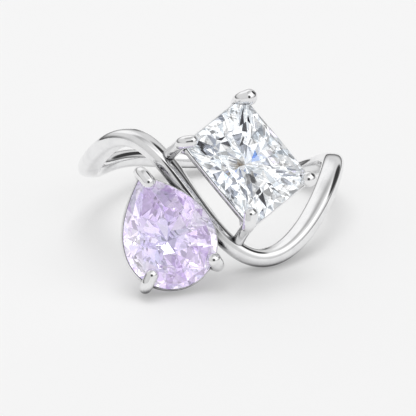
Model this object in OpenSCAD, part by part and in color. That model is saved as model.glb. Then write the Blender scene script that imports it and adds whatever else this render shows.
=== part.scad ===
// Ring with two stones side by side on a waved band: a pear below it and a cut-cornered
// rectangle above it. The finger's axis is Z before the ring is laid down on the surface, and
// angles around the finger are measured from the middle of the head, positive to the right.

/* [Finger hole and band] */
// Diameter of the finger hole
finger_d = 17.3; // [15:0.1:20]
// Width of the band, measured along the finger
band_w = 1.2; // [1:0.05:1.6]
// Thickness of the band, outwards from the finger hole
band_t = 1.75; // [1.4:0.05:2]
// Part of that thickness taken by the rounded outer face
dome_h = 0.25; // [0.1:0.05:0.5]

/* [Pear stone] */
// Length of the pear stone
pear_l = 9; // [8:0.1:9.5]
// Width of the pear stone
pear_w = 7; // [6:0.1:7.4]
// Height of its crown above the girdle
pear_crown = 1; // [0.7:0.05:1.3]
// Depth of its pavilion below the girdle
pear_pavilion = 2.9; // [2.4:0.05:3.1]

/* [Radiant stone] */
// Length of the radiant stone
radiant_l = 8; // [7:0.1:8.5]
// Width of the radiant stone
radiant_w = 6; // [5:0.1:6.5]
// Leg of each of its four cut corners
radiant_corner = 0.4; // [0.3:0.05:1.2]
// Height of its crown above the girdle
radiant_crown = 0.9; // [0.6:0.05:1.1]
// Depth of its pavilion below the girdle
radiant_pavilion = 2.9; // [2.4:0.05:3]

/* [Settings] */
// Width of the rail under each girdle
rail_w = 0.45; // [0.4:0.05:0.7]
// Height of that rail
rail_h = 0.8; // [0.5:0.05:0.9]
// Radius of a prong's post
post_r = 0.44; // [0.35:0.01:0.5]
// Play between each stone and the metal
stone_gap = 0.03; // [0.02:0.01:0.06]

/* [Pose on the surface] */
// Forward tilt of the finger's axis when the ring lies down
rest_pitch = -14.6; // [-25:0.1:0]
// Sideways tilt of the finger's axis when the ring lies down
rest_roll = 3.3; // [-10:0.1:10]

/* [Hidden] */

finger_r = finger_d / 2;
band_mid_r = finger_r + band_t / 2;

// The band rises and falls along the finger as a sum of smooth crests and troughs:
// the angle around the finger, the height, and the spread of each one
LOBES = [
    [-22.5, 7.45, 42],
    [13, -7.05, 48],
    [90.5, 1.85, 29.5],
    [142, -0.55, 13],
    [-128, 0.45, 22],
];
LOBE_AT = 0;
LOBE_RISE = 1;
LOBE_SPREAD = 2;
BAND_STATIONS = 120;
DOME_STEPS = 6;

// Where each stone sits: distance of its girdle from the finger's axis, angle around the finger,
// height along the finger, then how far it faces to the right, how far up, and its turn
PEAR_SEAT = [12.2, -9.8, -3, 10, 13, 114];
RADIANT_SEAT = [12.3, 17, 3.3, 16.5, 21.5, -53];
SEAT_R = 0;
SEAT_AT = 1;
SEAT_Z = 2;
SEAT_YAW = 3;
SEAT_PITCH = 4;
SEAT_TURN = 5;

// Rings of corners of each cut stone: share of the girdle's outline, level as a share of the
// crown's height or, if negative, of the pavilion's depth, and 0 for corners at the main
// stations of the outline or 1 for corners between them
PEAR_CUT = [
    [0.6, 1, 0],
    [0.79, 0.68, 1],
    [0.72, -0.4, 1],
    [0.42, -0.69, 0],
    [0.17, -0.88, 1],
];
RADIANT_CUT = [
    [0.62, 1, 0],
    [0.81, 0.56, 1],
    [0.74, -0.34, 1],
    [0.44, -0.65, 0],
    [0.2, -0.84, 1],
];
RING_SHARE = 0;
RING_LEVEL = 1;
RING_PHASE = 2;
// Half the thickness of the girdle at its corners
girdle_half = 0.13;

// Stations of the pear's outline on one side, from its point to its round end, as places on the
// outline: up to 90 along the side, and from there angles of the round end
PEAR_HALF_STATIONS = [0, 18, 40, 64, 90, 112, 135, 158, 180];
// Straight pieces in the girdle's edge from one station to the next
PEAR_EDGE_STEPS = 3;
RADIANT_EDGE_STEPS = 1;
// How much further out the middle of a radiant's side lies than a straight side would
side_bow = 1.012;
pear_round_r = pear_w / 2;
pear_point = pear_l - pear_round_r;

// Rails: how far they stand outside their outline, drop of the upper rail and of the lower rail
// under the girdle, the lower rail's section, and its outline as a share of the stone's
rail_out = 0.12;
rail_drop = 0.16;
lower_drop = 1.8;
lower_h = 0.6;
lower_w = 0.7;
lower_share = 0.56;

// Prongs of each stone, on the stone's own axes: where the bent tip ends, where the post stands,
// and the tip's radius. The last column is the angle around the finger at which the post is
// soldered to the band, or NO_FOOT for a post that only the lower rail carries.
NO_FOOT = 999;
PEAR_PRONGS = [
    [4.85, -0.3, 5.8, -0.1, 0.55, NO_FOOT],
    [-1.65, 2.35, -2.3, 3.1, 0.52, NO_FOOT],
    [-2.5, -2.4, -3, -2.6, 0.58, NO_FOOT],
];
RADIANT_PRONGS = [
    [-3.7, 3.15, -4.05, 2.6, 0.62, NO_FOOT],
    [3.9, 2.65, 3.9, 2.9, 0.6, NO_FOOT],
    [-3.8, -2.5, -4.2, -3.1, 0.46, -18.5],
    [3.2, -2.6, 3.75, -3.15, 0.54, 15.5],
];
TIP_X = 0;
TIP_Y = 1;
POST_X = 2;
POST_Y = 3;
TIP_R = 4;
FOOT_AT = 5;
PRONG_FACETS = 16;
// Heights of a prong's tip and bend above the girdle, and of its knee as a share of the way down
// to the lower rail
tip_up = 0.6;
bend_up = 0.3;
knee_share = 0.6;
// Radius of a strut at the lower rail as a share of the post's
strut_share = 0.8;
// Where on the band's section a post is soldered: out from the finger hole, and to its upper side
foot_out = 0.7;
foot_side = 0.5;
// Bridge from the pear's lower rail to the band: which point of the pear's outline it starts under,
// that outline as a share of the stone's, and the angle around the finger where it meets the band
bridge_place = 40;
bridge_share = 0.51;
bridge_at = 0;
// Clearance of the settings from the finger
finger_clear = 0.1;

// Shift of the tilted ring onto the surface
rest_shift = [-0.051, 2.424, 3.472];

function wave_gap(a, b) = (a - b + 540) % 360 - 180;
function lobe_height(a, l) = l[LOBE_RISE] * exp(-pow(wave_gap(a, l[LOBE_AT]) / l[LOBE_SPREAD], 2));
function total(list, i = 0) = i < len(list) ? list[i] + total(list, i + 1) : 0;
function wave_z(a) = total([for (l = LOBES) lobe_height(a, l)]);
function wave_lean(a) = atan((wave_z(a + 0.5) - wave_z(a - 0.5)) * 180 / PI / band_mid_r);

// A point of the band: out is measured from the finger hole, side towards the upper edge
function band_point(a, out, side) =
    let (lean = wave_lean(a), r = finger_r + out)
    [
        r * sin(a) - side * sin(lean) * cos(a),
        -r * cos(a) - side * sin(lean) * sin(a),
        wave_z(a) + side * cos(lean)
    ];

// The band's section: a flat inner face, flat sides, and a rounded outer face
band_section = concat(
    [[0, -band_w / 2]],
    [for (i = [0:DOME_STEPS]) let (a = -90 + 180 * i / DOME_STEPS)
        [band_t - dome_h + dome_h * cos(a), band_w / 2 * sin(a)]],
    [[0, band_w / 2]]
);

// Directions of a stone: out of its table, along its length, and along its width
function stone_out(s) = [
    sin(s[SEAT_YAW]) * cos(s[SEAT_PITCH]),
    -cos(s[SEAT_YAW]) * cos(s[SEAT_PITCH]),
    sin(s[SEAT_PITCH])
];
function stone_long(s) =
    let (level = [cos(s[SEAT_YAW]), sin(s[SEAT_YAW]), 0])
    cos(s[SEAT_TURN]) * level + sin(s[SEAT_TURN]) * cross(stone_out(s), level);
function stone_centre(s) = [s[SEAT_R] * sin(s[SEAT_AT]), -s[SEAT_R] * cos(s[SEAT_AT]), s[SEAT_Z]];
function in_ring(s, p) =
    stone_centre(s) + p.x * stone_long(s) + p.y * cross(stone_out(s), stone_long(s)) + p.z * stone_out(s);
function lift(p, z) = [p.x, p.y, z];

// Outline of the pear, its point towards +X and its round end centred on the origin
function pear_place(t) =
    t > 180 ? let (p = pear_place(360 - t)) [p.x, -p.y] :
    t > 90 ? pear_round_r * [cos(t), sin(t)] :
    [pear_point * (1 - t / 90), pear_round_r * (1 - pow(1 - t / 90, 2))];
pear_stations = concat(
    PEAR_HALF_STATIONS,
    [for (i = [len(PEAR_HALF_STATIONS) - 2:-1:0]) 360 - PEAR_HALF_STATIONS[i]]
);
pear_edge = [for (i = [0:len(pear_stations) - 2]) for (k = [0:PEAR_EDGE_STEPS - 1])
    let (share = k / PEAR_EDGE_STEPS)
    pear_place(pear_stations[i] * (1 - share) + pear_stations[i + 1] * share)];

// Outline of the radiant: its eight corners, with the middles of the eight sides between them,
// bowed out a little
radiant_corners = let (a = radiant_l / 2, b = radiant_w / 2, c = radiant_corner) [
    [a, b - c], [a - c, b], [c - a, b], [-a, b - c],
    [-a, c - b], [c - a, -b], [a - c, -b], [a, c - b],
];
radiant_edge = [for (i = [0:7]) for (k = [0:1])
    k == 1 ? radiant_corners[i] : (radiant_corners[i] + radiant_corners[(i + 7) % 8]) / 2 * side_bow];

// A cut stone stands on an edge of 2D points, with steps of them from one station to the next.
// Stations are main ones and ones in between by turns. Each facet at the girdle is a true plane,
// so its edge dips between two stations as it does on a real girdle.
function on_plane(a, b, c, p) =
    let (n = cross(b - a, c - a))
    lift(p, a.z - (n.x * (p.x - a.x) + n.y * (p.y - a.y)) / n.z);
function ring_corner(edge, steps, ring, i, crown, pavilion) = lift(
    ring[RING_SHARE] * edge[(2 * i + ring[RING_PHASE]) * steps],
    ring[RING_LEVEL] * (ring[RING_LEVEL] > 0 ? crown : pavilion)
);
function girdle_corner(edge, steps, ring, i, crown, pavilion) =
    let (
        level = sign(ring[RING_LEVEL]) * girdle_half,
        station = floor(i / steps),
        from = lift(edge[station * steps], level),
        to = lift(edge[(station + 1) * steps % len(edge)], level),
        inner = ring_corner(edge, steps, ring, floor(station / 2), crown, pavilion)
    )
    i % steps == 0 ? from : on_plane(from, to, inner, edge[i]);

// The stone is the hull of its corners: the rings, both edges of the girdle, and the tip. The
// first ring in between on each side of the girdle sets the planes of the facets there.
module cut_stone(edge, steps, cut, crown, pavilion) {
    corners = concat(
        [for (ring = cut) for (i = [0:len(edge) / steps / 2 - 1])
            ring_corner(edge, steps, ring, i, crown, pavilion)],
        [for (ring = [cut[1], cut[2]]) for (i = [0:len(edge) - 1])
            girdle_corner(edge, steps, ring, i, crown, pavilion)],
        [[0, 0, -pavilion]]
    );
    hull() polyhedron(corners, [[for (i = [0:len(corners) - 1]) i]]);
}

module band() {
    n = len(band_section);
    count = BAND_STATIONS * n;
    polyhedron(
        [for (i = [0:BAND_STATIONS - 1]) for (p = band_section)
            band_point(i * 360 / BAND_STATIONS, p.x, p.y)],
        [for (i = [0:BAND_STATIONS - 1]) for (k = [0:n - 1])
            [i * n + k, i * n + (k + 1) % n, (i * n + n + (k + 1) % n) % count, (i * n + n + k) % count]],
        convexity = 6
    );
}

// Puts its children on a stone's own axes: table up, length along X
module on_seat(s) {
    multmatrix([for (i = [0:2]) [
        stone_long(s)[i],
        cross(stone_out(s), stone_long(s))[i],
        stone_out(s)[i],
        stone_centre(s)[i]
    ]])
        children();
}

// A closed rail just outside an outline, from its top downwards
module rail(edge, top, width, height) {
    translate([0, 0, top - height])
        linear_extrude(height)
            difference() {
                offset(delta = rail_out) polygon(edge);
                offset(delta = rail_out - width) polygon(edge);
            }
}

// A rod with round ends along a chain of [place, radius] pairs
module rod(chain) {
    for (i = [0:len(chain) - 2])
        hull()
            for (c = [chain[i], chain[i + 1]])
                translate(c[0]) sphere(r = c[1], $fn = PRONG_FACETS);
}

// A prong: a tip bent over the girdle, a post, and a strut from the post's knee to the lower rail
module prong(seat, p) {
    post = [p[POST_X], p[POST_Y]];
    tip = in_ring(seat, [p[TIP_X], p[TIP_Y], tip_up]);
    bend = in_ring(seat, lift(post, bend_up));
    knee = in_ring(seat, lift(post, -lower_drop * knee_share));
    strut = in_ring(seat, lift(post * lower_share, -lower_drop - lower_h / 2));
    rod([[tip, p[TIP_R]], [bend, post_r], [knee, post_r], [strut, post_r * strut_share]]);
    if (p[FOOT_AT] != NO_FOOT)
        rod([[knee, post_r], [band_point(p[FOOT_AT], foot_out, foot_side), post_r]]);
}

module setting(seat, edge, prongs) {
    on_seat(seat) {
        rail(edge, -rail_drop, rail_w, rail_h);
        rail(edge * lower_share, -lower_drop, lower_w, lower_h);
    }
    for (p = prongs)
        prong(seat, p);
}

// Carries the pear's lower rail on the side of the band
module bridge() {
    start = pear_edge[bridge_place] * bridge_share;
    rod([
        [in_ring(PEAR_SEAT, lift(start, -lower_drop - lower_h / 2)), post_r * strut_share],
        [band_point(bridge_at, band_t / 2, 0), post_r],
    ]);
}

module pear_cut() {
    cut_stone(pear_edge, PEAR_EDGE_STEPS, PEAR_CUT, pear_crown, pear_pavilion);
}

module radiant_cut() {
    cut_stone(radiant_edge, RADIANT_EDGE_STEPS, RADIANT_CUT, radiant_crown, radiant_pavilion);
}

// A stone with the play around it, for cutting its seat into the metal
function play(size) = (size + 2 * stone_gap) / size;

// Turns the ring from the finger's axis upright to lying on the surface, with its lowest places
// on the surface and the middle of its outline, seen from above, on the origin
module laid_down() {
    translate(rest_shift) rotate([rest_pitch, rest_roll, 0]) children();
}

module mounting() {
    color("gainsboro")
        laid_down()
            difference() {
                union() {
                    band();
                    difference() {
                        union() {
                            setting(PEAR_SEAT, pear_edge, PEAR_PRONGS);
                            setting(RADIANT_SEAT, radiant_edge, RADIANT_PRONGS);
                            bridge();
                        }
                        cylinder(h = 6 * finger_r, r = finger_r + finger_clear, center = true, $fn = 90);
                    }
                }
                on_seat(PEAR_SEAT)
                    scale([play(pear_l), play(pear_w), play(pear_crown + pear_pavilion)])
                        pear_cut();
                on_seat(RADIANT_SEAT)
                    scale([play(radiant_l), play(radiant_w), play(radiant_crown + radiant_pavilion)])
                        radiant_cut();
            }
}

module pear_stone() {
    color("plum") laid_down() on_seat(PEAR_SEAT) pear_cut();
}

module radiant_stone() {
    color("white") laid_down() on_seat(RADIANT_SEAT) radiant_cut();
}

mounting();
pear_stone();
radiant_stone();
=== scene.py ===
"""Looks of a two-stone ring: polished metal, a lilac pear and a clear radiant on a pale floor."""

import logging
import math
from dataclasses import dataclass, field
from enum import Enum
from typing import Sequence, Union

import bpy
import numpy as np
from mathutils import Matrix, Vector


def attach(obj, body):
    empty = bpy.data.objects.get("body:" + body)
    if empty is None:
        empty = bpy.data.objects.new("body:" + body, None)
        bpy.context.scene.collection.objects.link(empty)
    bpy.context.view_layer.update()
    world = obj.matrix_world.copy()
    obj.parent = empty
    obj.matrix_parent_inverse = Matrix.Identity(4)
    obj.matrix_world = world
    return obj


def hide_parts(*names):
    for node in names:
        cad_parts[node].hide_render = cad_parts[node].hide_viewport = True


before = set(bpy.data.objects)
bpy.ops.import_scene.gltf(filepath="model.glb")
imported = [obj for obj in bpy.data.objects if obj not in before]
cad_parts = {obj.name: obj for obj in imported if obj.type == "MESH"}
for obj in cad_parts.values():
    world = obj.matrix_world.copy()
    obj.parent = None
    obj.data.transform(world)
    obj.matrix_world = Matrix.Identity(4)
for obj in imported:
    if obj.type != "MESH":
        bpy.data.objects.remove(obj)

MM = 0.001
FULL_TURN, HALF_TURN, QUARTER_TURN = 360, 180, 90
LOG = logging.getLogger("ring")


class BodyName(str, Enum):
    """The rigid bodies that pieces ride on."""

    ROOT = "root"


class NodeName(str, Enum):
    """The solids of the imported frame."""

    MOUNTING = "mounting"
    PEAR = "pear_stone"
    RADIANT = "radiant_stone"


class SlotName(str, Enum):
    """Names of the material slots."""

    METAL = "white_metal"
    LILAC = "lilac_stone"
    CLEAR = "clear_stone"


# Geometry of the ring, in millimetres on the finger's own axes


@dataclass(frozen=True)
class Lobe:
    """One crest or trough of the band's wave: place and spread in degrees, rise in mm."""

    at: float
    rise: float
    spread: float


@dataclass(frozen=True)
class RestPose:
    """How the ring lies on the surface, from the finger's axis upright."""

    pitch: float = -14.6
    roll: float = 3.3
    shift: tuple[float, float, float] = (-0.051, 2.424, 3.472)

    def to_row(self, points: np.ndarray) -> np.ndarray:
        """Moves points from the finger's axes to the row's frame.

        Args:
            points: Points in millimetres, one a row.

        Returns:
            The same points in metres, in the row's frame.
        """
        roll = Matrix.Rotation(math.radians(self.roll), 3, "Y")
        pitch = Matrix.Rotation(math.radians(self.pitch), 3, "X")
        return (points @ np.array(roll @ pitch).T + np.array(self.shift)) * MM


@dataclass(frozen=True)
class BandSizes:
    """Driving sizes of the waved band.

    Its section has rounded inner edges, straight flanks, and an outer dome as deep as the shoulder.
    A higher fullness makes that dome squarer.
    """

    hole_radius: float = 8.65
    width: float = 1.38
    thickness: float = 1.75
    shoulder: float = 0.95
    fullness: float = 2.75
    inner_round: float = 0.6
    stations: int = 360
    dome_steps: int = 25
    edge_steps: int = 5
    flank_steps: int = 6
    lean_step: float = 0.5
    lobes: tuple[Lobe, ...] = (
        Lobe(-22.5, 7.45, 42),
        Lobe(13, -7.05, 48),
        Lobe(90.5, 1.85, 29.5),
        Lobe(142, -0.55, 13),
        Lobe(-128, 0.45, 22),
    )

    def height(self, angle: np.ndarray) -> np.ndarray:
        """Height of the band's middle along the finger.

        Args:
            angle: Angles around the finger in degrees.

        Returns:
            Heights in millimetres.
        """
        gaps = [(angle - lobe.at + 3 * HALF_TURN) % FULL_TURN - HALF_TURN for lobe in self.lobes]
        waves = zip(self.lobes, gaps)
        return sum(lobe.rise * np.exp(-((gap / lobe.spread) ** 2)) for lobe, gap in waves)

    def point(self, angle: np.ndarray, out: np.ndarray, side: np.ndarray) -> np.ndarray:
        """Points of the band.

        Args:
            angle: Angles around the finger in degrees.
            out: Distances outwards from the finger hole.
            side: Distances from the band's middle towards its upper edge.

        Returns:
            Points in millimetres on the finger's axes.
        """
        step = self.lean_step
        rise = (self.height(angle + step) - self.height(angle - step)) / math.radians(2 * step)
        lean = np.arctan(rise / (self.hole_radius + self.thickness / 2))
        turn = np.radians(angle)
        radius = self.hole_radius + out
        return np.stack(
            [
                radius * np.sin(turn) - side * np.sin(lean) * np.cos(turn),
                -radius * np.cos(turn) - side * np.sin(lean) * np.sin(turn),
                self.height(angle) + side * np.cos(lean),
            ],
            axis=-1,
        )

    def section(self) -> np.ndarray:
        """The band's section, from its inner face round the outer dome and back.

        Returns:
            Rows of out and side in millimetres.
        """
        angles = np.linspace(-math.pi / 2, math.pi / 2, self.dome_steps)
        flank_end = self.thickness - self.shoulder
        half = self.width / 2
        power = 2 / self.fullness
        dome_out = flank_end + self.shoulder * np.abs(np.cos(angles)) ** power
        dome = np.stack([dome_out, half * np.sign(angles) * np.abs(np.sin(angles)) ** power], axis=-1)
        arc = np.linspace(0, math.pi / 2, self.edge_steps)
        r = self.inner_round
        lower = np.stack([r - r * np.cos(arc), -(half - r) - r * np.sin(arc)], axis=-1)
        upper = np.stack([r - r * np.sin(arc), (half - r) + r * np.cos(arc)], axis=-1)
        flanks = np.linspace(r, flank_end, self.flank_steps)[1:-1]
        low_side = np.stack([flanks, np.full_like(flanks, -half)], axis=-1)
        high_side = np.stack([flanks[::-1], np.full_like(flanks, half)], axis=-1)
        return np.vstack([lower, low_side, dome, high_side, upper])


@dataclass(frozen=True)
class Seat:
    """Where a stone sits: girdle radius, angle and height on the finger's axes, then its aim."""

    radius: float
    at: float
    height: float
    yaw: float
    pitch: float
    turn: float

    def axes(self) -> np.ndarray:
        """Directions of the stone on the finger's axes.

        Returns:
            Rows: along the stone's length, along its width, and out of its table.
        """
        yaw, pitch, turn = (math.radians(v) for v in (self.yaw, self.pitch, self.turn))
        out = Vector((math.sin(yaw) * math.cos(pitch), -math.cos(yaw) * math.cos(pitch), math.sin(pitch)))
        level = Vector((math.cos(yaw), math.sin(yaw), 0))
        length = level * math.cos(turn) + out.cross(level) * math.sin(turn)
        return np.array([length, out.cross(length), out])

    def centre(self) -> np.ndarray:
        """Middle of the girdle on the finger's axes."""
        at = math.radians(self.at)
        return np.array([self.radius * math.sin(at), -self.radius * math.cos(at), self.height])

    def to_ring(self, points: np.ndarray) -> np.ndarray:
        """Moves points from the stone's axes to the finger's axes."""
        return self.centre() + np.asarray(points, float) @ self.axes()


@dataclass(frozen=True)
class PearOutline:
    """Girdle of the pear: a half circle and two parabolas that meet in its point on +X."""

    length: float = 9.0
    width: float = 7.0

    def points(self, count: int) -> np.ndarray:
        """Points of the outline, turning from the pear's point towards +Y.

        Args:
            count: How many points.

        Returns:
            Rows of x and y in millimetres.
        """
        place = np.linspace(0, FULL_TURN, count, endpoint=False)
        side = np.where(place > HALF_TURN, -1.0, 1.0)
        place = np.where(place > HALF_TURN, FULL_TURN - place, place)
        r = self.width / 2
        share = 1 - place / QUARTER_TURN
        flank = np.stack([(self.length - r) * share, r * (1 - share**2)], axis=-1)
        turn = np.radians(place)
        cap = np.stack([r * np.cos(turn), r * np.sin(turn)], axis=-1)
        half = np.where((place <= QUARTER_TURN)[:, None], flank, cap)
        return half * np.stack([np.ones_like(side), side], axis=-1)


@dataclass(frozen=True)
class RadiantOutline:
    """Girdle of the radiant: a rectangle with cut corners."""

    length: float = 8.0
    width: float = 6.0
    corner: float = 0.4

    def points(self, count: int) -> np.ndarray:
        """Points along the eight sides, the same number on each.

        Args:
            count: How many points, a multiple of eight.

        Returns:
            Rows of x and y in millimetres.
        """
        a, b, c = self.length / 2, self.width / 2, self.corner
        quarter = np.array([[a, b - c], [a - c, b]])
        corners = np.vstack([quarter, (quarter * [-1, 1])[::-1], -quarter, (quarter * [1, -1])[::-1]])
        ends = np.roll(corners, -1, axis=0)
        steps = np.linspace(0, 1, count // len(corners), endpoint=False)[:, None]
        return np.vstack([start + (end - start) * steps for start, end in zip(corners, ends)])


Outline = Union[PearOutline, RadiantOutline]


@dataclass(frozen=True)
class ProngSpot:
    """One prong on its stone's axes: tip, post, and the angle on the band where a post has its foot."""

    tip: tuple[float, float]
    post: tuple[float, float]
    tip_radius: float
    foot_at: float | None = None


@dataclass(frozen=True)
class SettingSizes:
    """Sizes that both settings share: rail, lower rail, posts with their tips and struts, and feet."""

    rail_out: float = 0.12
    rail_width: float = 0.45
    rail_height: float = 0.8
    rail_drop: float = 0.16
    rail_round: float = 0.12
    lower_drop: float = 1.8
    lower_height: float = 0.6
    lower_width: float = 0.7
    lower_share: float = 0.56
    post_radius: float = 0.48
    strut_share: float = 0.8
    tip_up: float = 0.6
    bend_up: float = 0.3
    knee_share: float = 0.6
    foot_out: float = 0.7
    foot_side: float = 0.5


@dataclass(frozen=True)
class Bridge:
    """Rod from the pear's lower rail to the band."""

    start: tuple[float, float] = (-1.27, -1.27)
    band_at: float = 0.0


PEAR_SEAT = Seat(radius=12.2, at=-9.8, height=-3.0, yaw=10, pitch=13, turn=114)
RADIANT_SEAT = Seat(radius=12.3, at=17, height=3.3, yaw=16.5, pitch=21.5, turn=-53)
PEAR_PRONGS = (
    ProngSpot((4.85, -0.3), (5.8, -0.1), 0.55),
    ProngSpot((-1.65, 2.35), (-2.3, 3.1), 0.52),
    ProngSpot((-2.5, -2.4), (-3.0, -2.6), 0.58),
)
RADIANT_PRONGS = (
    ProngSpot((-3.7, 3.15), (-4.05, 2.6), 0.62),
    ProngSpot((3.9, 2.65), (3.9, 2.9), 0.6),
    ProngSpot((-3.8, -2.5), (-4.2, -3.1), 0.46, -18.5),
    ProngSpot((3.2, -2.6), (3.75, -3.15), 0.54, 15.5),
)


# Meshes


@dataclass(frozen=True)
class StoneForm:
    """A stone's flat sides, which metal is held clear of."""

    normals: np.ndarray
    reaches: np.ndarray
    play: float = 0.02
    batch: int = 4000

    @classmethod
    def of(cls, stone: bpy.types.Object) -> "StoneForm":
        """Reads the flat sides of a stone's solid.

        Args:
            stone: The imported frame's stone.

        Returns:
            The stone's form.
        """
        sides = [side for side in stone.data.polygons if side.area > 0]
        reaches = np.array([side.normal.dot(side.center) for side in sides])
        return cls(np.array([side.normal for side in sides]), reaches)

    def clear(self, points: np.ndarray) -> np.ndarray:
        """Pushes points that lie in the stone out to its nearest side.

        Args:
            points: Points in metres.

        Returns:
            The points, none of them in the stone.
        """
        moved = points.copy()
        for start in range(0, len(points), self.batch):
            part = moved[start : start + self.batch]
            gaps = part @ self.normals.T - self.reaches - self.play * MM
            nearest = gaps.argmax(axis=1)
            depth = gaps[np.arange(len(part)), nearest]
            inside = depth < 0
            part[inside] -= self.normals[nearest[inside]] * depth[inside, None]
        return moved


@dataclass
class MeshParts:
    """Vertices and faces gathered from several forms into one mesh."""

    rest: RestPose
    stones: Sequence[StoneForm] = ()
    vertices: list[np.ndarray] = field(default_factory=list)
    faces: list[tuple[int, ...]] = field(default_factory=list)
    count: int = 0

    def loft(self, rings: np.ndarray, closed: bool) -> None:
        """Adds a skin through rings of points.

        Args:
            rings: Array of rings, points and coordinates, in mm on the finger's axes.
            closed: True if the last ring joins the first, False for capped ends.
        """
        many, around = rings.shape[:2]
        start = self.count
        last = many if closed else many - 1
        for i in range(last):
            low = start + i * around
            high = start + (i + 1) % many * around
            for k in range(around):
                n = (k + 1) % around
                self.faces.append((low + k, low + n, high + n, high + k))
        if not closed:
            self.faces.append(tuple(start + k for k in reversed(range(around))))
            self.faces.append(tuple(start + (many - 1) * around + k for k in range(around)))
        self.vertices.append(rings.reshape(-1, 3))
        self.count += many * around

    def build(self, name: str) -> bpy.types.Object:
        """Makes one object of all that was added, smooth but for the rods' end faces.

        Args:
            name: Name of the object and its mesh.

        Returns:
            The object, linked to the scene.
        """
        points = self.rest.to_row(np.vstack(self.vertices))
        for stone in self.stones:
            points = stone.clear(points)
        mesh = bpy.data.meshes.new(name)
        mesh.from_pydata(points.tolist(), [], self.faces)
        mesh.polygons.foreach_set("use_smooth", [len(face) == 4 for face in self.faces])
        mesh.update()
        piece = bpy.data.objects.new(name, mesh)
        bpy.context.collection.objects.link(piece)
        LOG.info("%s: %d faces", name, len(self.faces))
        return piece


@dataclass(frozen=True)
class Rod:
    """A round rod along a chain of places, with a radius at each and round ends."""

    places: tuple[tuple[float, float, float], ...]
    radii: tuple[float, ...]
    sides: int = 28
    cap_steps: int = 8
    cap_start: float = 88.0
    smoothing: int = 4
    corner_cut: float = 0.25
    seam_way: tuple[float, float, float] = (0.3, 0.5, 0.8)

    def _soft_chain(self) -> np.ndarray:
        """Cuts the chain's corners round.

        Returns:
            Rows of x, y, z and radius.
        """
        chain = np.column_stack([np.array(self.places), np.array(self.radii)])
        cut = self.corner_cut
        for _ in range(self.smoothing):
            near = chain[:-1] * (1 - cut) + chain[1:] * cut
            far = chain[:-1] * cut + chain[1:] * (1 - cut)
            middle = np.stack([near, far], axis=1).reshape(-1, 4)
            chain = np.vstack([chain[:1], middle, chain[-1:]])
        return chain

    def rings(self) -> np.ndarray:
        """Rings of points along the rod, from one round end to the other.

        Returns:
            Array of rings, points and coordinates.
        """
        chain = self._soft_chain()
        ahead = np.gradient(chain[:, :3], axis=0)
        ahead /= np.linalg.norm(ahead, axis=1)[:, None]
        cap = np.radians(np.linspace(self.cap_start, 0, self.cap_steps, endpoint=False))
        centres, radii, along = [], [], []
        for place, way, sign, order in ((chain[0], ahead[0], -1, 1), (chain[-1], ahead[-1], 1, -1)):
            for a in cap[::order]:
                centres.append(place[:3] + way * sign * place[3] * math.sin(a))
                radii.append(place[3] * math.cos(a))
                along.append(way)
        n = self.cap_steps
        centres = np.vstack([centres[:n], chain[:, :3], centres[n:]])
        radii = np.concatenate([radii[:n], chain[:, 3], radii[n:]])
        along = np.vstack([along[:n], ahead, along[n:]])
        side = np.cross(along[0], self.seam_way)
        around = np.linspace(0, 2 * math.pi, self.sides, endpoint=False)
        result = []
        for centre, radius, way in zip(centres, radii, along):
            side = side - way * (side @ way)
            side /= np.linalg.norm(side)
            other = np.cross(way, side)
            circle = np.outer(np.cos(around), side) + np.outer(np.sin(around), other)
            result.append(centre + radius * circle)
        return np.array(result)


@dataclass(frozen=True)
class Rail:
    """A closed rail with round edges that follows a girdle's outline."""

    outline: Outline
    share: float
    out: float
    top: float
    width: float
    height: float
    edge_round: float
    count: int = 160
    corner_steps: int = 5
    side_steps: int = 5
    miter_floor: float = 0.6

    def _section(self) -> np.ndarray:
        """Rounded rectangle of the rail's metal.

        Returns:
            Rows of out and up in millimetres.
        """
        r = self.edge_round
        arcs = []
        for i, (x, y) in enumerate(((1, 1), (-1, 1), (-1, -1), (1, -1))):
            a = np.radians(np.linspace(0, QUARTER_TURN, self.corner_steps) + QUARTER_TURN * i)
            corner = np.array([x * (self.width / 2 - r), y * (self.height / 2 - r)])
            arcs.append(corner + r * np.stack([np.cos(a), np.sin(a)], axis=-1))
        sides = []
        for arc, following in zip(arcs, arcs[1:] + arcs[:1]):
            steps = np.linspace(0, 1, self.side_steps)[1:-1, None]
            sides += [arc, arc[-1] + (following[0] - arc[-1]) * steps]
        return np.vstack(sides) + [self.out - self.width / 2, self.top - self.height / 2]

    def rings(self, seat: Seat) -> np.ndarray:
        """Rings of points on the finger's axes.

        Args:
            seat: The stone's seat that the rail belongs to.

        Returns:
            Array of rings, points and coordinates.
        """
        edge = self.outline.points(self.count) * self.share
        ahead = np.roll(edge, -1, axis=0) - edge
        behind = edge - np.roll(edge, 1, axis=0)
        normals = [
            np.stack([way[:, 1], -way[:, 0]], axis=-1) / np.linalg.norm(way, axis=1)[:, None]
            for way in (ahead, behind)
        ]
        bend = normals[0] + normals[1]
        miter = bend / np.maximum((bend * normals[0]).sum(axis=1), self.miter_floor)[:, None]
        section = self._section()[::-1]
        rings = np.empty((len(edge), len(section), 3))
        rings[:, :, :2] = edge[:, None] + miter[:, None] * section[None, :, :1]
        rings[:, :, 2] = section[None, :, 1]
        return seat.to_ring(rings.reshape(-1, 3)).reshape(rings.shape)


@dataclass(frozen=True)
class FacetRing:
    """One ring of inner facet corners: how many, share of the girdle, depth, and how far they stray."""

    count: int
    share: float
    depth: float
    stray: float


@dataclass(frozen=True)
class Shade:
    """One tone that inner facets may take, and how often: painted light or shade, mixed with the stone's
    own colour.
    """

    colour: tuple[float, float, float]
    weight: float


@dataclass(frozen=True)
class Glow:
    """A zone of a stone whose inner facets lean to one colour: a painted highlight, flash or dark patch.
    """

    place: tuple[float, float]
    reach: float
    colour: tuple[float, float, float]
    pull: float


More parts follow.
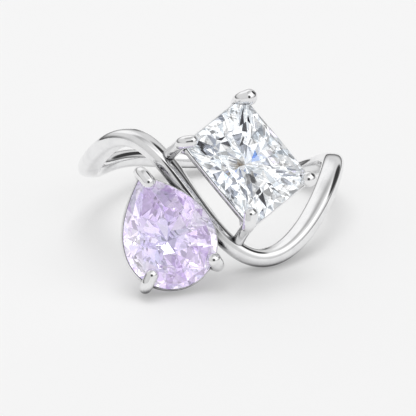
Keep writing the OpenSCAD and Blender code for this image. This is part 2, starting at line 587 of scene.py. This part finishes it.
@dataclass(frozen=True)
class Cut:
    """A stone's inner facets: rings from the girdle down to the culet under the heart, and their tones,
    which paint the light and shade seen in the stone.
    """

    rings: tuple[FacetRing, ...]
    heart: tuple[float, float]
    culet_depth: float
    shades: tuple[Shade, ...]
    glows: tuple[Glow, ...]
    seed: int


# The pear's facets mix the stone's own lilac with painted light and shade: near-white, grey and dark
# tones, a white highlight zone, and darker lilac and grey-blue zones.
PEAR_CUT = Cut(
    rings=(
        FacetRing(48, 0.985, 0.14, 0.0),
        FacetRing(24, 0.8, 0.6, 0.07),
        FacetRing(24, 0.52, 1.3, 0.2),
        FacetRing(12, 0.25, 1.9, 0.22),
    ),
    heart=(0.2, 0.1),
    culet_depth=2.35,
    shades=(
        Shade((0.76, 0.71, 0.83), 4),
        Shade((0.92, 0.91, 0.95), 4),
        Shade((0.62, 0.54, 0.72), 1.6),
        Shade((0.62, 0.63, 0.70), 1.8),
        Shade((0.40, 0.33, 0.50), 0.3),
    ),
    glows=(
        Glow((2.6, -1.4), 1.9, (0.56, 0.43, 0.70), 0.55),
        Glow((1.0, 2.4), 1.5, (0.98, 0.98, 1.0), 0.8),
        Glow((0.2, 0.1), 1.3, (0.47, 0.49, 0.60), 0.75),
        Glow((-2.2, 0.0), 1.3, (0.72, 0.58, 0.82), 0.35),
    ),
    seed=23,
)
# The radiant's facet tones are painted reflections: white, grey and black tones, a blue flash, and brown
# and black patches stand for the light and shade seen in a clear stone.
RADIANT_CUT = Cut(
    rings=(
        FacetRing(96, 0.985, 0.14, 0.0),
        FacetRing(96, 0.84, 0.5, 0.06),
        FacetRing(48, 0.52, 1.2, 0.13),
        FacetRing(48, 0.34, 1.65, 0.13),
        FacetRing(24, 0.16, 2.15, 0.11),
    ),
    heart=(0.0, 0.0),
    culet_depth=2.45,
    shades=(
        Shade((1.0, 1.0, 1.0), 4.5),
        Shade((0.90, 0.92, 0.94), 3),
        Shade((0.65, 0.69, 0.73), 1.6),
        Shade((0.34, 0.36, 0.41), 0.9),
        Shade((0.03, 0.03, 0.04), 0.35),
        Shade((0.25, 0.45, 0.9), 0.02),
    ),
    glows=(
        Glow((0.0, 0.95), 0.35, (0.2, 0.4, 0.9), 0.9),
        Glow((-0.2, -0.4), 0.48, (0.16, 0.12, 0.07), 0.95),
        Glow((1.1, -0.4), 0.5, (0.02, 0.02, 0.03), 0.95),
    ),
    seed=14,
)


@dataclass(frozen=True)
class InnerFacets:
    """Facets a little within a cut stone's pavilion, whose tones paint the light and shade seen inside
    it.
    """

    name: str
    seat: Seat
    outline: Outline
    rest: RestPose
    cut: Cut

    def _corners(self, luck: np.random.Generator) -> np.ndarray:
        """Lays the corners ring by ring, and the culet last.

        Args:
            luck: Source of the corners' strays.

        Returns:
            Corners in millimetres on the stone's axes.
        """
        rows = []
        heart = np.array(self.cut.heart)
        for ring in self.cut.rings:
            place = heart * (1 - ring.share) + self.outline.points(ring.count) * ring.share
            place = place + luck.normal(0, ring.stray, place.shape)
            depth = -ring.depth + luck.normal(0, ring.stray, (ring.count, 1))
            rows.append(np.hstack([place, depth]))
        rows.append(np.array([[*heart, -self.cut.culet_depth]]))
        return np.vstack(rows)

    def _faces(self) -> list[tuple[int, int, int]]:
        """Joins each ring to the next, which has as many corners or half, and the last to the culet.

        Returns:
            Triangles that face the table, as numbers of their corners.
        """
        faces = []
        start = 0
        for outer, inner in zip(self.cut.rings, self.cut.rings[1:]):
            n, m = outer.count, inner.count
            low = start + n
            for k in range(m):
                c, d = low + k, low + (k + 1) % m
                if m < n:
                    a, b, e = (start + (2 * k + i) % n for i in range(3))
                    faces += [(a, b, c), (b, e, d), (b, d, c)]
                else:
                    a, b = start + k, start + (k + 1) % n
                    faces += [(a, b, c), (b, d, c)] if k % 2 else [(a, b, d), (a, d, c)]
            start = low
        m = self.cut.rings[-1].count
        return faces + [(start + k, start + (k + 1) % m, start + m) for k in range(m)]

    def _tints(self, middles: np.ndarray, luck: np.random.Generator) -> np.ndarray:
        """Draws a painted tone for each facet from the shades, then leans it to the glows, painted
        highlights and dark patches, around it.

        Args:
            middles: Middles of the facets on the stone's axes.
            luck: Source of the draws.

        Returns:
            One colour a facet.
        """
        shades = self.cut.shades
        weights = np.array([shade.weight for shade in shades])
        picked = luck.choice(len(shades), len(middles), p=weights / weights.sum())
        tints = np.array([shades[i].colour for i in picked])
        for glow in self.cut.glows:
            far = np.linalg.norm(middles[:, :2] - np.array(glow.place), axis=1) / glow.reach
            pull = glow.pull * np.exp(-(far**2))[:, None]
            tints = tints * (1 - pull) + np.array(glow.colour) * pull
        return np.clip(tints, 0, 1)

    def build(self) -> bpy.types.Object:
        """Makes the facets.

        Returns:
            The object, with each facet's painted tone in a colour attribute.
        """
        luck = np.random.default_rng(self.cut.seed)
        corners = self._corners(luck)
        faces = self._faces()
        middles = corners[np.array(faces)].mean(axis=1)
        mesh = bpy.data.meshes.new(self.name)
        mesh.from_pydata(self.rest.to_row(self.seat.to_ring(corners)).tolist(), [], faces)
        # Each facet's painted tone of light and shade goes into this colour attribute.
        tones = mesh.color_attributes.new("tone", "FLOAT_COLOR", "CORNER")
        tints = np.repeat(self._tints(middles, luck), len(faces[0]), axis=0)
        tones.data.foreach_set("color", np.hstack([tints, np.ones((len(tints), 1))]).ravel())
        piece = bpy.data.objects.new(self.name, mesh)
        bpy.context.collection.objects.link(piece)
        LOG.info("%s: %d facets", self.name, len(faces))
        return piece


# Shader maths

Number = Union[float, int, "Value"]


class Value:
    """A number socket that takes part in arithmetic."""

    def __init__(self, shader: "Shader", socket: bpy.types.NodeSocket) -> None:
        """Wraps a socket of a shader's tree."""
        self.shader = shader
        self.socket = socket

    def _math(self, operation: str, first: Number, second: Number = 0.0) -> "Value":
        """One Math node over two numbers."""
        return self.shader.node("ShaderNodeMath", {"operation": operation}, {0: first, 1: second}).value()

    def __add__(self, other: Number) -> "Value":
        """Sum."""
        return self._math("ADD", self, other)

    __radd__ = __add__

    def __sub__(self, other: Number) -> "Value":
        """Difference."""
        return self._math("SUBTRACT", self, other)

    def __rsub__(self, other: Number) -> "Value":
        """Difference, the other way round."""
        return self._math("SUBTRACT", other, self)

    def __mul__(self, other: Number) -> "Value":
        """Product."""
        return self._math("MULTIPLY", self, other)

    __rmul__ = __mul__

    def step(self, low: float, high: float) -> "Value":
        """Smooth rise from 0 to 1.

        Args:
            low: Where it leaves 0.
            high: Where it reaches 1, above low.

        Returns:
            The risen value.
        """
        inputs = {"Value": self, "From Min": low, "From Max": high}
        smooth = {"interpolation_type": "SMOOTHSTEP"}
        return self.shader.node("ShaderNodeMapRange", smooth, inputs).value()


class Arrow:
    """A vector or colour socket that takes part in vector arithmetic."""

    def __init__(self, shader: "Shader", socket: bpy.types.NodeSocket) -> None:
        """Wraps a socket of a shader's tree."""
        self.shader = shader
        self.socket = socket

    def _math(self, operation: str, first: object, second: object = (0, 0, 0)) -> "NodeResult":
        """One Vector Math node over two vectors."""
        return self.shader.node("ShaderNodeVectorMath", {"operation": operation}, {0: first, 1: second})

    def __mul__(self, other: object) -> "Arrow":
        """Product by parts, or by one number.

        Args:
            other: Three numbers, one number, or a wrapped socket.

        Returns:
            The product.
        """
        if isinstance(other, (float, int)):
            other = (other, other, other)
        return self._math("MULTIPLY", self, other).arrow()

    __rmul__ = __mul__

    def dot(self, other: object) -> Value:
        """Dot product."""
        return self._math("DOT_PRODUCT", self, other).value("Value")

    def unit(self) -> "Arrow":
        """The vector at length one."""
        return self._math("NORMALIZE", self).arrow()


class NodeResult:
    """A node that was made, to read its outputs from."""

    def __init__(self, shader: "Shader", made: bpy.types.Node) -> None:
        """Keeps the node and the tree it is in."""
        self.shader = shader
        self.made = made

    def value(self, name: int | str = 0) -> Value:
        """A number output."""
        return Value(self.shader, self.made.outputs[name])

    def arrow(self, name: int | str = 0) -> Arrow:
        """A vector or colour output."""
        return Arrow(self.shader, self.made.outputs[name])


# Numbers of a Mix node's two colour inputs and its colour output
MIX_LOW, MIX_HIGH, MIX_RESULT = 6, 7, 2


class Shader:
    """A node tree with one way to add nodes."""

    def __init__(self, tree: bpy.types.NodeTree) -> None:
        """Empties a tree and keeps it.

        Args:
            tree: The node tree of a material or the world.
        """
        self.tree = tree
        tree.nodes.clear()

    def node(self, kind: str, settings: dict[str, object], inputs: dict[int | str, object]) -> NodeResult:
        """Adds a node.

        Args:
            kind: The node's type.
            settings: Values of its properties.
            inputs: Constants or wrapped sockets for its inputs.

        Returns:
            The node, ready to read outputs from.
        """
        made = self.tree.nodes.new(kind)
        for name, setting in settings.items():
            setattr(made, name, setting)
        for name, given in inputs.items():
            if isinstance(given, (Value, Arrow)):
                self.tree.links.new(given.socket, made.inputs[name])
            else:
                made.inputs[name].default_value = given
        return NodeResult(self, made)

    def mix(self, low: object, high: object, share: Number) -> Arrow:
        """Mixes two colours through a Mix node.

        Args:
            low: Colour where share is 0, as four numbers or a socket.
            high: Colour where share is 1.
            share: Where between the two.

        Returns:
            The mixed colour.
        """
        inputs = {"Factor": share, MIX_LOW: low, MIX_HIGH: high}
        return self.node("ShaderNodeMix", {"data_type": "RGBA"}, inputs).arrow(MIX_RESULT)

    def place(self) -> Arrow:
        """Position on the object, in metres in the row's frame."""
        return self.node("ShaderNodeTexCoord", {}, {}).arrow("Object")

    def noise(self, scale: float, detail: float) -> Value:
        """Noise over the object, with scale per metre."""
        inputs = {"Vector": self.place(), "Scale": scale, "Detail": detail}
        return self.node("ShaderNodeTexNoise", {}, inputs).value()

    def out(self, kind: str, given: NodeResult) -> None:
        """Joins a shader to the tree's output node."""
        end = self.tree.nodes.new(kind)
        self.tree.links.new(given.made.outputs[0], end.inputs["Surface"])


Colour = tuple[float, float, float, float]
Span = tuple[float, float]


@dataclass(frozen=True)
class Finish:
    """A finish that makes its own material."""

    name: str

    def make(self) -> bpy.types.Material:
        """Makes the material.

        Returns:
            The new material.
        """
        material = bpy.data.materials.new(self.name)
        material.use_nodes = True
        shader = Shader(material.node_tree)
        shader.out("ShaderNodeOutputMaterial", self.surface(shader))
        return material

    def surface(self, shader: Shader) -> NodeResult:
        """Makes the surface shader, in each finish of its own."""
        raise NotImplementedError


@dataclass(frozen=True)
class PolishedMetal(Finish):
    """White gold with a mirror polish, faint polishing haze, and painted shade that darkens its recesses.
    """

    tint: Colour = (0.88, 0.88, 0.885, 1.0)
    worn_tint: Colour = (0.81, 0.81, 0.82, 1.0)
    worn_range: Span = (0.35, 0.75)
    roughness: float = 0.07
    haze: float = 0.06
    haze_scale: float = 900.0
    haze_detail: float = 3.0
    ripple: float = 0.02
    ripple_scale: float = 1500.0
    ripple_detail: float = 2.0
    ripple_depth: float = 0.0001
    # Painted shade: the base colour darkens towards this near-black tint where ambient occlusion finds
    # metal or stone close by.
    painted_shade_tint: Colour = (0.06, 0.06, 0.065, 1.0)
    painted_shade_range: Span = (0.28, 0.7)
    painted_shade_reach: float = 0.0022
    painted_shade_samples: int = 8

    def surface(self, shader: Shader) -> NodeResult:
        """Metal whose tint and gloss drift a little over the surface, with painted shade darkening its
        recesses.

        Args:
            shader: The material's tree.

        Returns:
            The shader node.
        """
        drift = shader.noise(self.haze_scale, self.haze_detail)
        ripples = shader.noise(self.ripple_scale, self.ripple_detail)
        relief = {"Strength": self.ripple, "Distance": self.ripple_depth, "Height": ripples}
        bump = shader.node("ShaderNodeBump", {}, relief)
        # Painted shade: an ambient-occlusion mask darkens the base colour in recesses, next to the stones
        # and where parts meet.
        samples, reach = {"samples": self.painted_shade_samples}, {"Distance": self.painted_shade_reach}
        unshaded_share = shader.node("ShaderNodeAmbientOcclusion", samples, reach).value("AO")
        polished = shader.mix(self.tint, self.worn_tint, drift.step(*self.worn_range))
        inputs = {
            "Base Color": shader.mix(self.painted_shade_tint, polished, unshaded_share.step(*self.painted_shade_range)),
            "Metallic": 1.0,
            "Roughness": drift * self.haze + self.roughness,
            "Normal": bump.arrow(),
        }
        return shader.node("ShaderNodeBsdfPrincipled", {}, inputs)


@dataclass(frozen=True)
class CutStone(Finish):
    """The clear outside of a cut stone, with the faintest cloud in its tint."""

    tint: Colour
    cloud_tint: Colour
    cloud_scale: float = 700.0
    cloud_detail: float = 2.0
    cloud_range: Span = (0.35, 0.7)
    ior: float = 1.7

    def surface(self, shader: Shader) -> NodeResult:
        """Refracting stone whose tint drifts a little.

        Args:
            shader: The material's tree.

        Returns:
            The shader node.
        """
        cloud = shader.noise(self.cloud_scale, self.cloud_detail).step(*self.cloud_range)
        inputs = {
            "Base Color": shader.mix(self.tint, self.cloud_tint, cloud),
            "Roughness": 0.0,
            "IOR": self.ior,
            "Transmission Weight": 1.0,
        }
        return shader.node("ShaderNodeBsdfPrincipled", {}, inputs)


@dataclass(frozen=True)
class FacetMirror(Finish):
    """Inner facets that throw light back, each with its painted tone of light and shade and fine darker
    streaks, glowing though they are no lamp.
    """

    glow: float
    streak: float = 0.25
    streak_tone: float = 0.7
    streak_scale: float = 2500.0
    streak_detail: float = 2.0
    streak_range: Span = (0.4, 0.7)

    def surface(self, shader: Shader) -> NodeResult:
        """Mirror with the facet's painted tone, glowing in that tone though it is no lamp.

        Args:
            shader: The material's tree.

        Returns:
            The shader node.
        """
        tone = shader.node("ShaderNodeAttribute", {"attribute_name": "tone"}, {}).arrow("Color")
        streaks = shader.noise(self.streak_scale, self.streak_detail).step(*self.streak_range)
        toned = shader.mix(tone, tone * self.streak_tone, streaks * self.streak)
        inputs = {
            "Base Color": toned,
            "Metallic": 1.0,
            "Roughness": 0.0,
            # Painted light: the facets glow in their own painted tones, though they are no lamp.
            "Emission Color": toned,
            "Emission Strength": self.glow,
        }
        return shader.node("ShaderNodeBsdfPrincipled", {}, inputs)


@dataclass(frozen=True)
class PaleFloor(Finish):
    """Plain pale surface that the ring lies on, with a little light through it."""

    tint: Colour = (0.50, 0.50, 0.50, 1.0)
    dull_tint: Colour = (0.495, 0.495, 0.495, 1.0)
    drift_scale: float = 60.0
    drift_detail: float = 2.0
    roughness: float = 0.9
    ior: float = 1.2
    light_through: float = 0.35

    def surface(self, shader: Shader) -> NodeResult:
        """Matte surface with the faintest drift of tone.

        Args:
            shader: The material's tree.

        Returns:
            The shader node.
        """
        drift = shader.noise(self.drift_scale, self.drift_detail)
        inputs = {
            "Base Color": shader.mix(self.tint, self.dull_tint, drift),
            "Roughness": self.roughness,
            "IOR": self.ior,
            "Emission Color": (1.0, 1.0, 1.0, 1.0),
            "Emission Strength": self.light_through,
        }
        return shader.node("ShaderNodeBsdfPrincipled", {}, inputs)


# Pieces


@dataclass
class Band:
    """The waved band."""

    sizes: BandSizes
    rest: RestPose

    def build(self) -> bpy.types.Object:
        """Sweeps the section around the finger.

        Returns:
            The band's object.
        """
        parts = MeshParts(self.rest)
        section = self.sizes.section()
        angles = np.arange(self.sizes.stations) * FULL_TURN / self.sizes.stations
        rings = self.sizes.point(angles[:, None], section[None, :, 0], section[None, :, 1])
        parts.loft(rings, closed=True)
        return parts.build("band")


@dataclass
class Setting:
    """A stone's rails and prongs."""

    name: str
    seat: Seat
    outline: Outline
    spots: Sequence[ProngSpot]
    sizes: SettingSizes
    band: BandSizes
    rest: RestPose
    stones: Sequence[StoneForm]
    bridge: Bridge | None = None

    def _rails(self, parts: MeshParts) -> None:
        """Adds the rail under the girdle and the lower rail.

        Args:
            parts: Where they are added.
        """
        s = self.sizes
        rails = (
            (1.0, -s.rail_drop, s.rail_width, s.rail_height),
            (s.lower_share, -s.lower_drop, s.lower_width, s.lower_height),
        )
        for share, top, width, height in rails:
            rail = Rail(self.outline, share, s.rail_out, top, width, height, s.rail_round)
            parts.loft(rail.rings(self.seat), closed=True)

    def _rod(self, parts: MeshParts, places: Sequence[np.ndarray], radii: Sequence[float]) -> None:
        """Adds one rod with round ends."""
        chain = tuple(tuple(float(v) for v in place) for place in places)
        parts.loft(Rod(chain, tuple(radii)).rings(), closed=False)

    def _prong(self, parts: MeshParts, spot: ProngSpot) -> None:
        """Adds a prong: bent tip, post, strut to the lower rail, and foot on the band if it has one.

        Args:
            parts: Where it is added.
            spot: The prong's places.
        """
        s = self.sizes
        post = np.array(spot.post)
        tip, bend, knee, strut = self.seat.to_ring(
            np.array(
                [
                    [*spot.tip, s.tip_up],
                    [*post, s.bend_up],
                    [*post, -s.lower_drop * s.knee_share],
                    [*(post * s.lower_share), -s.lower_drop - s.lower_height / 2],
                ]
            )
        )
        thin = s.post_radius * s.strut_share
        if spot.foot_at is None:
            self._rod(parts, [tip, bend, knee, strut], [spot.tip_radius] + [s.post_radius] * 2 + [thin])
            return
        foot = self.band.point(*np.array([spot.foot_at, s.foot_out, s.foot_side]))
        self._rod(parts, [tip, bend, knee, foot], [spot.tip_radius] + [s.post_radius] * 3)
        self._rod(parts, [knee, strut], [thin, thin])

    def build(self) -> bpy.types.Object:
        """Makes the setting.

        Returns:
            The setting's object.
        """
        parts = MeshParts(self.rest, self.stones)
        self._rails(parts)
        for spot in self.spots:
            self._prong(parts, spot)
        if self.bridge is not None:
            s = self.sizes
            start = self.seat.to_ring(np.array([*self.bridge.start, -s.lower_drop - s.lower_height / 2]))
            end = self.band.point(*np.array([self.bridge.band_at, self.band.thickness / 2, 0.0]))
            self._rod(parts, [start, end], [s.post_radius * s.strut_share, s.post_radius])
        return parts.build(self.name)


@dataclass(frozen=True)
class Camera:
    """The photo's camera: long lens, aimed at a place on the ring from an angle above the floor."""

    target: tuple[float, float, float] = (-0.311, 1.46, 1.389)
    azimuth: float = 5.93
    elevation: float = 24.11
    roll: float = -3.67
    distance: float = 280.0
    lens: float = 309.07
    sensor: float = 36.0
    sight: float = 10.0

    def build(self) -> bpy.types.Object:
        """Makes the camera and makes it the scene's.

        Returns:
            The camera's object.
        """
        data = bpy.data.cameras.new("camera")
        data.lens = self.lens
        data.sensor_width = self.sensor
        data.clip_end = self.sight
        camera = bpy.data.objects.new("camera", data)
        az, el = math.radians(self.azimuth), math.radians(self.elevation)
        back = Vector((math.sin(az) * math.cos(el), -math.cos(az) * math.cos(el), math.sin(el)))
        aim = (-back).to_track_quat("-Z", "Y").to_matrix().to_4x4()
        place = Vector(self.target) * MM + back * self.distance * MM
        roll = Matrix.Rotation(math.radians(self.roll), 4, "Z")
        camera.matrix_world = Matrix.Translation(place) @ aim @ roll
        bpy.context.collection.objects.link(camera)
        bpy.context.scene.camera = camera
        return camera


@dataclass(frozen=True)
class Panel:
    """One light panel: where it hangs, its size and its brightness."""

    name: str
    place: tuple[float, float, float]
    size: tuple[float, float]
    watts: float

    def build(self, target: Vector) -> bpy.types.Object:
        """Makes the area light, aimed at a target.

        Args:
            target: The place that it faces, in metres.

        Returns:
            The light's object.
        """
        data = bpy.data.lights.new(self.name, "AREA")
        data.shape = "RECTANGLE"
        data.size, data.size_y = self.size
        data.energy = self.watts
        light = bpy.data.objects.new(self.name, data)
        light.location = Vector(self.place)
        light.rotation_euler = (target - light.location).to_track_quat("-Z", "Y").to_euler()
        light.visible_glossy = False
        bpy.context.collection.objects.link(light)
        return light


@dataclass
class Studio:
    """Pale floor, a soft panel, and a cloth tent with a dark card and a dark opening for the lens.

    Each patch of the tent has its way, seen from the ring, and the span of cosines over which it sets in.
    """

    floor_size: float = 3.0
    overhead: float = 0.76
    rise_span: Span = (0.0, 0.32)
    peak_shade: float = 0.35
    peak_span: Span = (0.84, 0.97)
    horizon_back: float = 0.08
    horizon_front: float = 0.7
    horizon_span: Span = (-0.2, 0.6)
    key: float = 0.55
    key_way: tuple[float, float, float] = (0.45, -0.36, 0.82)
    key_span: Span = (0.68, 0.93)
    fill: float = 0.3
    fill_way: tuple[float, float, float] = (-0.354, 0.612, 0.707)
    fill_span: Span = (0.85, 0.97)
    dark: float = 0.05
    card_way: tuple[float, float, float] = (0.695, 0.486, 0.53)
    card_span: Span = (0.9, 0.95)
    lens_way: tuple[float, float, float] = (0.095, -0.908, 0.4085)
    lens_span: Span = (0.925, 0.96)
    panels: tuple[Panel, ...] = (
        Panel("panel_top", place=(0.0, 0.07, 0.5), size=(0.28, 0.28), watts=1.0),
    )

    def _floor(self) -> bpy.types.Object:
        """Makes the floor at the height that the ring lies on.

        Returns:
            The floor's object.
        """
        half = self.floor_size / 2
        corners = [(-half, -half, 0), (half, -half, 0), (half, half, 0), (-half, half, 0)]
        mesh = bpy.data.meshes.new("floor")
        mesh.from_pydata(corners, [], [(0, 1, 2, 3)])
        floor = bpy.data.objects.new("floor", mesh)
        floor.data.materials.append(PaleFloor("pale_floor").make())
        bpy.context.collection.objects.link(floor)
        return floor

    def _tent(self) -> None:
        """Makes the world: bright overhead, dim low at the back, and dark at the card and the lens."""
        world = bpy.data.worlds.new("tent")
        world.use_nodes = True
        bpy.context.scene.world = world
        shader = Shader(world.node_tree)
        way = shader.node("ShaderNodeTexCoord", {}, {}).arrow("Generated")
        parts = shader.node("ShaderNodeSeparateXYZ", {}, {0: way})
        front, up = 0.0 - parts.value(1), parts.value(2)
        contrast = self.horizon_front - self.horizon_back
        horizon = front.step(*self.horizon_span) * contrast + self.horizon_back
        rise = up.step(*self.rise_span)
        key = way.unit().dot(self.key_way).step(*self.key_span) * self.key
        fill = way.unit().dot(self.fill_way).step(*self.fill_span) * self.fill
        cloth = rise * self.overhead + (1.0 - rise) * horizon + key + fill
        cloth = cloth * (1.0 - up.step(*self.peak_span) * self.peak_shade)
        card = way.unit().dot(self.card_way).step(*self.card_span)
        lens = way.unit().dot(self.lens_way).step(*self.lens_span)
        unlit = 1.0 - (1.0 - card) * (1.0 - lens)
        light = cloth * (1.0 - unlit) + unlit * self.dark
        back = shader.node("ShaderNodeBackground", {}, {"Color": (1, 1, 1, 1), "Strength": light})
        shader.out("ShaderNodeOutputWorld", back)

    def build(self, target: Vector) -> list[bpy.types.Object]:
        """Makes the studio.

        Args:
            target: The place that the panels face, in metres.

        Returns:
            The floor and the lights.
        """
        self._tent()
        return [self._floor()] + [panel.build(target) for panel in self.panels]


@dataclass
class RingScene:
    """The whole picture: camera, metal, stones and studio."""

    rest: RestPose = RestPose()
    band: BandSizes = BandSizes()
    sizes: SettingSizes = SettingSizes()
    camera: Camera = Camera()
    studio: Studio = field(default_factory=Studio)

    def _metal(self) -> None:
        """Makes the metal pieces, which stand for the soldered solid."""
        stones = [StoneForm.of(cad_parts[name.value]) for name in (NodeName.PEAR, NodeName.RADIANT)]
        shared = (self.sizes, self.band, self.rest, stones)
        pieces = [
            Band(self.band, self.rest).build(),
            Setting("pear_setting", PEAR_SEAT, PearOutline(), PEAR_PRONGS, *shared, Bridge()).build(),
            Setting("radiant_setting", RADIANT_SEAT, RadiantOutline(), RADIANT_PRONGS, *shared).build(),
        ]
        finish = PolishedMetal("white_gold").make()
        for piece in pieces:
            piece.data.materials.append(finish)
            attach(piece, BodyName.ROOT.value)
            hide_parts(NodeName.MOUNTING.value)

    def _stones(self) -> None:
        """Dresses both stones and puts facets with painted light and shade inside them."""
        shells = {
            NodeName.PEAR: CutStone("lilac_stone", (0.95, 0.90, 0.99, 1.0), (0.93, 0.87, 0.98, 1.0)),
            NodeName.RADIANT: CutStone("clear_stone", (0.99, 0.995, 1.0, 1.0), (0.97, 0.985, 1.0, 1.0)),
        }
        for name, finish in shells.items():
            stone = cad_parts[name.value]
            stone.data.materials.clear()
            stone.data.materials.append(finish.make())
            LOG.info("%s: %d facets", name.value, len(stone.data.polygons))
        lilac = FacetMirror("pear_painted_facets", glow=0.36)
        clear = FacetMirror("radiant_painted_facets", glow=0.28)
        inner = (
            (lilac, PEAR_SEAT, PearOutline(), PEAR_CUT, SlotName.LILAC),
            (clear, RADIANT_SEAT, RadiantOutline(), RADIANT_CUT, SlotName.CLEAR),
        )
        for finish, seat, outline, cut, slot in inner:
            piece = InnerFacets(finish.name, seat, outline, self.rest, cut).build()
            piece.data.materials.append(finish.make())
            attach(piece, BodyName.ROOT.value)

    def build(self) -> None:
        """Makes everything in order."""
        target = Vector(self.camera.target) * MM
        self.camera.build()
        self._metal()
        self._stones()
        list(self.studio.build(target))
        bpy.context.scene.view_settings.view_transform = "Standard"


def main() -> None:
    """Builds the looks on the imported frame."""
    logging.basicConfig(level=logging.INFO, format="%(name)s: %(message)s")
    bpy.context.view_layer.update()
    RingScene().build()


if __name__ == "__main__":
    main()
